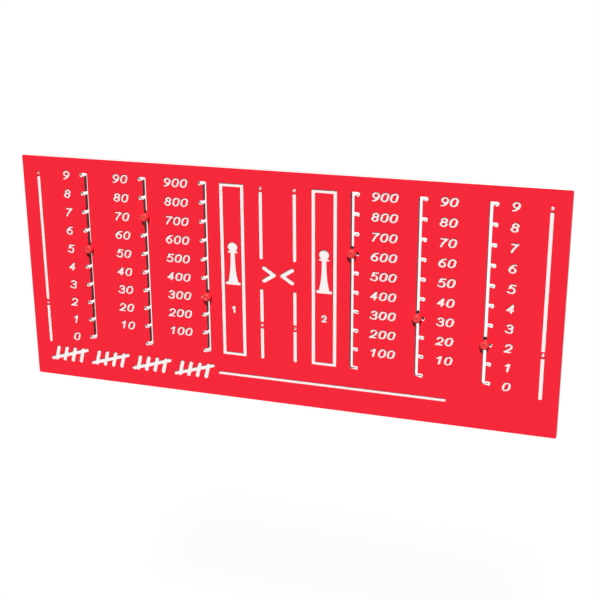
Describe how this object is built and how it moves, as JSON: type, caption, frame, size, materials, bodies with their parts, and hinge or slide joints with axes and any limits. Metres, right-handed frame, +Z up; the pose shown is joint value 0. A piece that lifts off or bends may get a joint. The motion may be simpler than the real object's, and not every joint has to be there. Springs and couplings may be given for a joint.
{
  "type": "scoreboard",
  "caption": "Wall-hung manual score board: a routed layered plastic panel with comb slots, where knob counters slide up and down and hook beside the numerals.",
  "frame": {"origin": "middle of the eight fixing holes, on the board's rear face", "axes": "+X to the right seen from the front, +Z up, +Y into the wall; the front faces -Y"},
  "size_m": [1.2, 0.0366, 0.518],
  "materials": {
    "skin_red": "fine grained red polyethylene skin, satin",
    "core_white": "routed white polyethylene core",
    "knob_red": "moulded red plastic, semi-gloss",
    "sleeve_white": "natural white plastic tube",
    "disc_black": "black moulded plastic",
    "steel": "plain stainless steel"
  },
  "bodies": {
    "board": {"front_skin": "skin_red", "core_sheet": "core_white", "rear_skin": "skin_red"},
    "left_units_counter": {"left_units_knob": "knob_red", "left_units_stud": "steel", "left_units_sleeve": "sleeve_white", "left_units_rear_disc": "disc_black", "left_units_washer": "steel", "left_units_lock_nut": "steel"},
    "left_tens_counter": {"left_tens_knob": "knob_red", "left_tens_stud": "steel", "left_tens_sleeve": "sleeve_white", "left_tens_rear_disc": "disc_black", "left_tens_washer": "steel", "left_tens_lock_nut": "steel"},
    "left_hundreds_counter": {"left_hundreds_knob": "knob_red", "left_hundreds_stud": "steel", "left_hundreds_sleeve": "sleeve_white", "left_hundreds_rear_disc": "disc_black", "left_hundreds_washer": "steel", "left_hundreds_lock_nut": "steel"},
    "right_hundreds_counter": {"right_hundreds_knob": "knob_red", "right_hundreds_stud": "steel", "right_hundreds_sleeve": "sleeve_white", "right_hundreds_rear_disc": "disc_black", "right_hundreds_washer": "steel", "right_hundreds_lock_nut": "steel"},
    "right_tens_counter": {"right_tens_knob": "knob_red", "right_tens_stud": "steel", "right_tens_sleeve": "sleeve_white", "right_tens_rear_disc": "disc_black", "right_tens_washer": "steel", "right_tens_lock_nut": "steel"},
    "right_units_counter": {"right_units_knob": "knob_red", "right_units_stud": "steel", "right_units_sleeve": "sleeve_white", "right_units_rear_disc": "disc_black", "right_units_washer": "steel", "right_units_lock_nut": "steel"}
  },
  "joints": [
    {"name": "left_units_slide", "type": "slide", "parent": "board", "child": "left_units_counter", "axis": [0, 0, 1], "range_m": [-0.21, 0.168]},
    {"name": "left_tens_slide", "type": "slide", "parent": "board", "child": "left_tens_counter", "axis": [0, 0, 1], "range_m": [-0.294, 0.084]},
    {"name": "left_hundreds_slide", "type": "slide", "parent": "board", "child": "left_hundreds_counter", "axis": [0, 0, 1], "range_m": [-0.126, 0.252]},
    {"name": "right_hundreds_slide", "type": "slide", "parent": "board", "child": "right_hundreds_counter", "axis": [0, 0, 1], "range_m": [-0.252, 0.126]},
    {"name": "right_tens_slide", "type": "slide", "parent": "board", "child": "right_tens_counter", "axis": [0, 0, 1], "range_m": [-0.126, 0.252]},
    {"name": "right_units_slide", "type": "slide", "parent": "board", "child": "right_units_counter", "axis": [0, 0, 1], "range_m": [-0.084, 0.294]}
  ]
}
